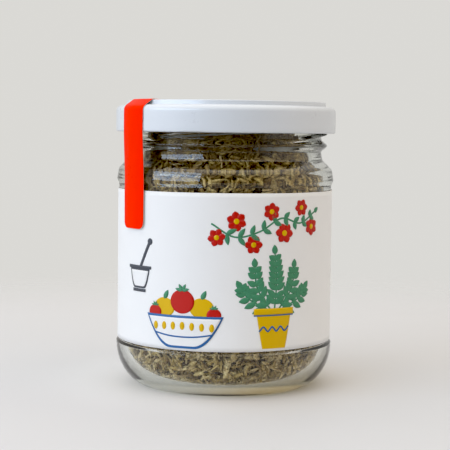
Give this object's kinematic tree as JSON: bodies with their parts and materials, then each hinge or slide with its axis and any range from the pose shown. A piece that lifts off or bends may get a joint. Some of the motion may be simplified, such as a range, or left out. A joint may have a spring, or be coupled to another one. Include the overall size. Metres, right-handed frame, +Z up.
{
  "type": "jar of dried thyme",
  "caption": "Clear glass jar filled with dried thyme, with a wrap-round paper label, a white twist-off lid and a red seal strip from lid to label.",
  "frame": {"origin": "centre of the base, on the plane that the jar stands on", "axes": "+Z up along the jar's axis, -Y towards the front of the label, +X to the right as seen from the front"},
  "size_m": [0.069, 0.069, 0.0894],
  "materials": {
    "clear_glass": "clear, polished",
    "dried_leaf": "dry, matt",
    "white_paper": "semi-matt coated paper",
    "white_enamel": "satin enamel on tinplate",
    "sealing_compound": "matt",
    "red_paper": "coated paper"
  },
  "bodies": {
    "jar": {"glass_jar": "clear_glass", "dried_thyme": "dried_leaf", "label": "white_paper"},
    "liner": {"lid_gasket": "sealing_compound"},
    "lid": {"lid_shell": "white_enamel", "seal_strip": "red_paper"}
  },
  "joints": [
    {"name": "lid_rise", "type": "slide", "parent": "jar", "child": "liner", "axis": [0, 0, 1], "range_m": [0, 0.0022]},
    {"name": "lid_twist", "type": "hinge", "parent": "liner", "child": "lid", "pos_m": [0, 0, 0.0835], "axis": [0, 0, 1], "range_deg": [0, 66]}
  ],
  "couplings": [
    {"joint": "lid_twist", "follows": "lid_rise", "rad_per_m": 523.6}
  ]
}
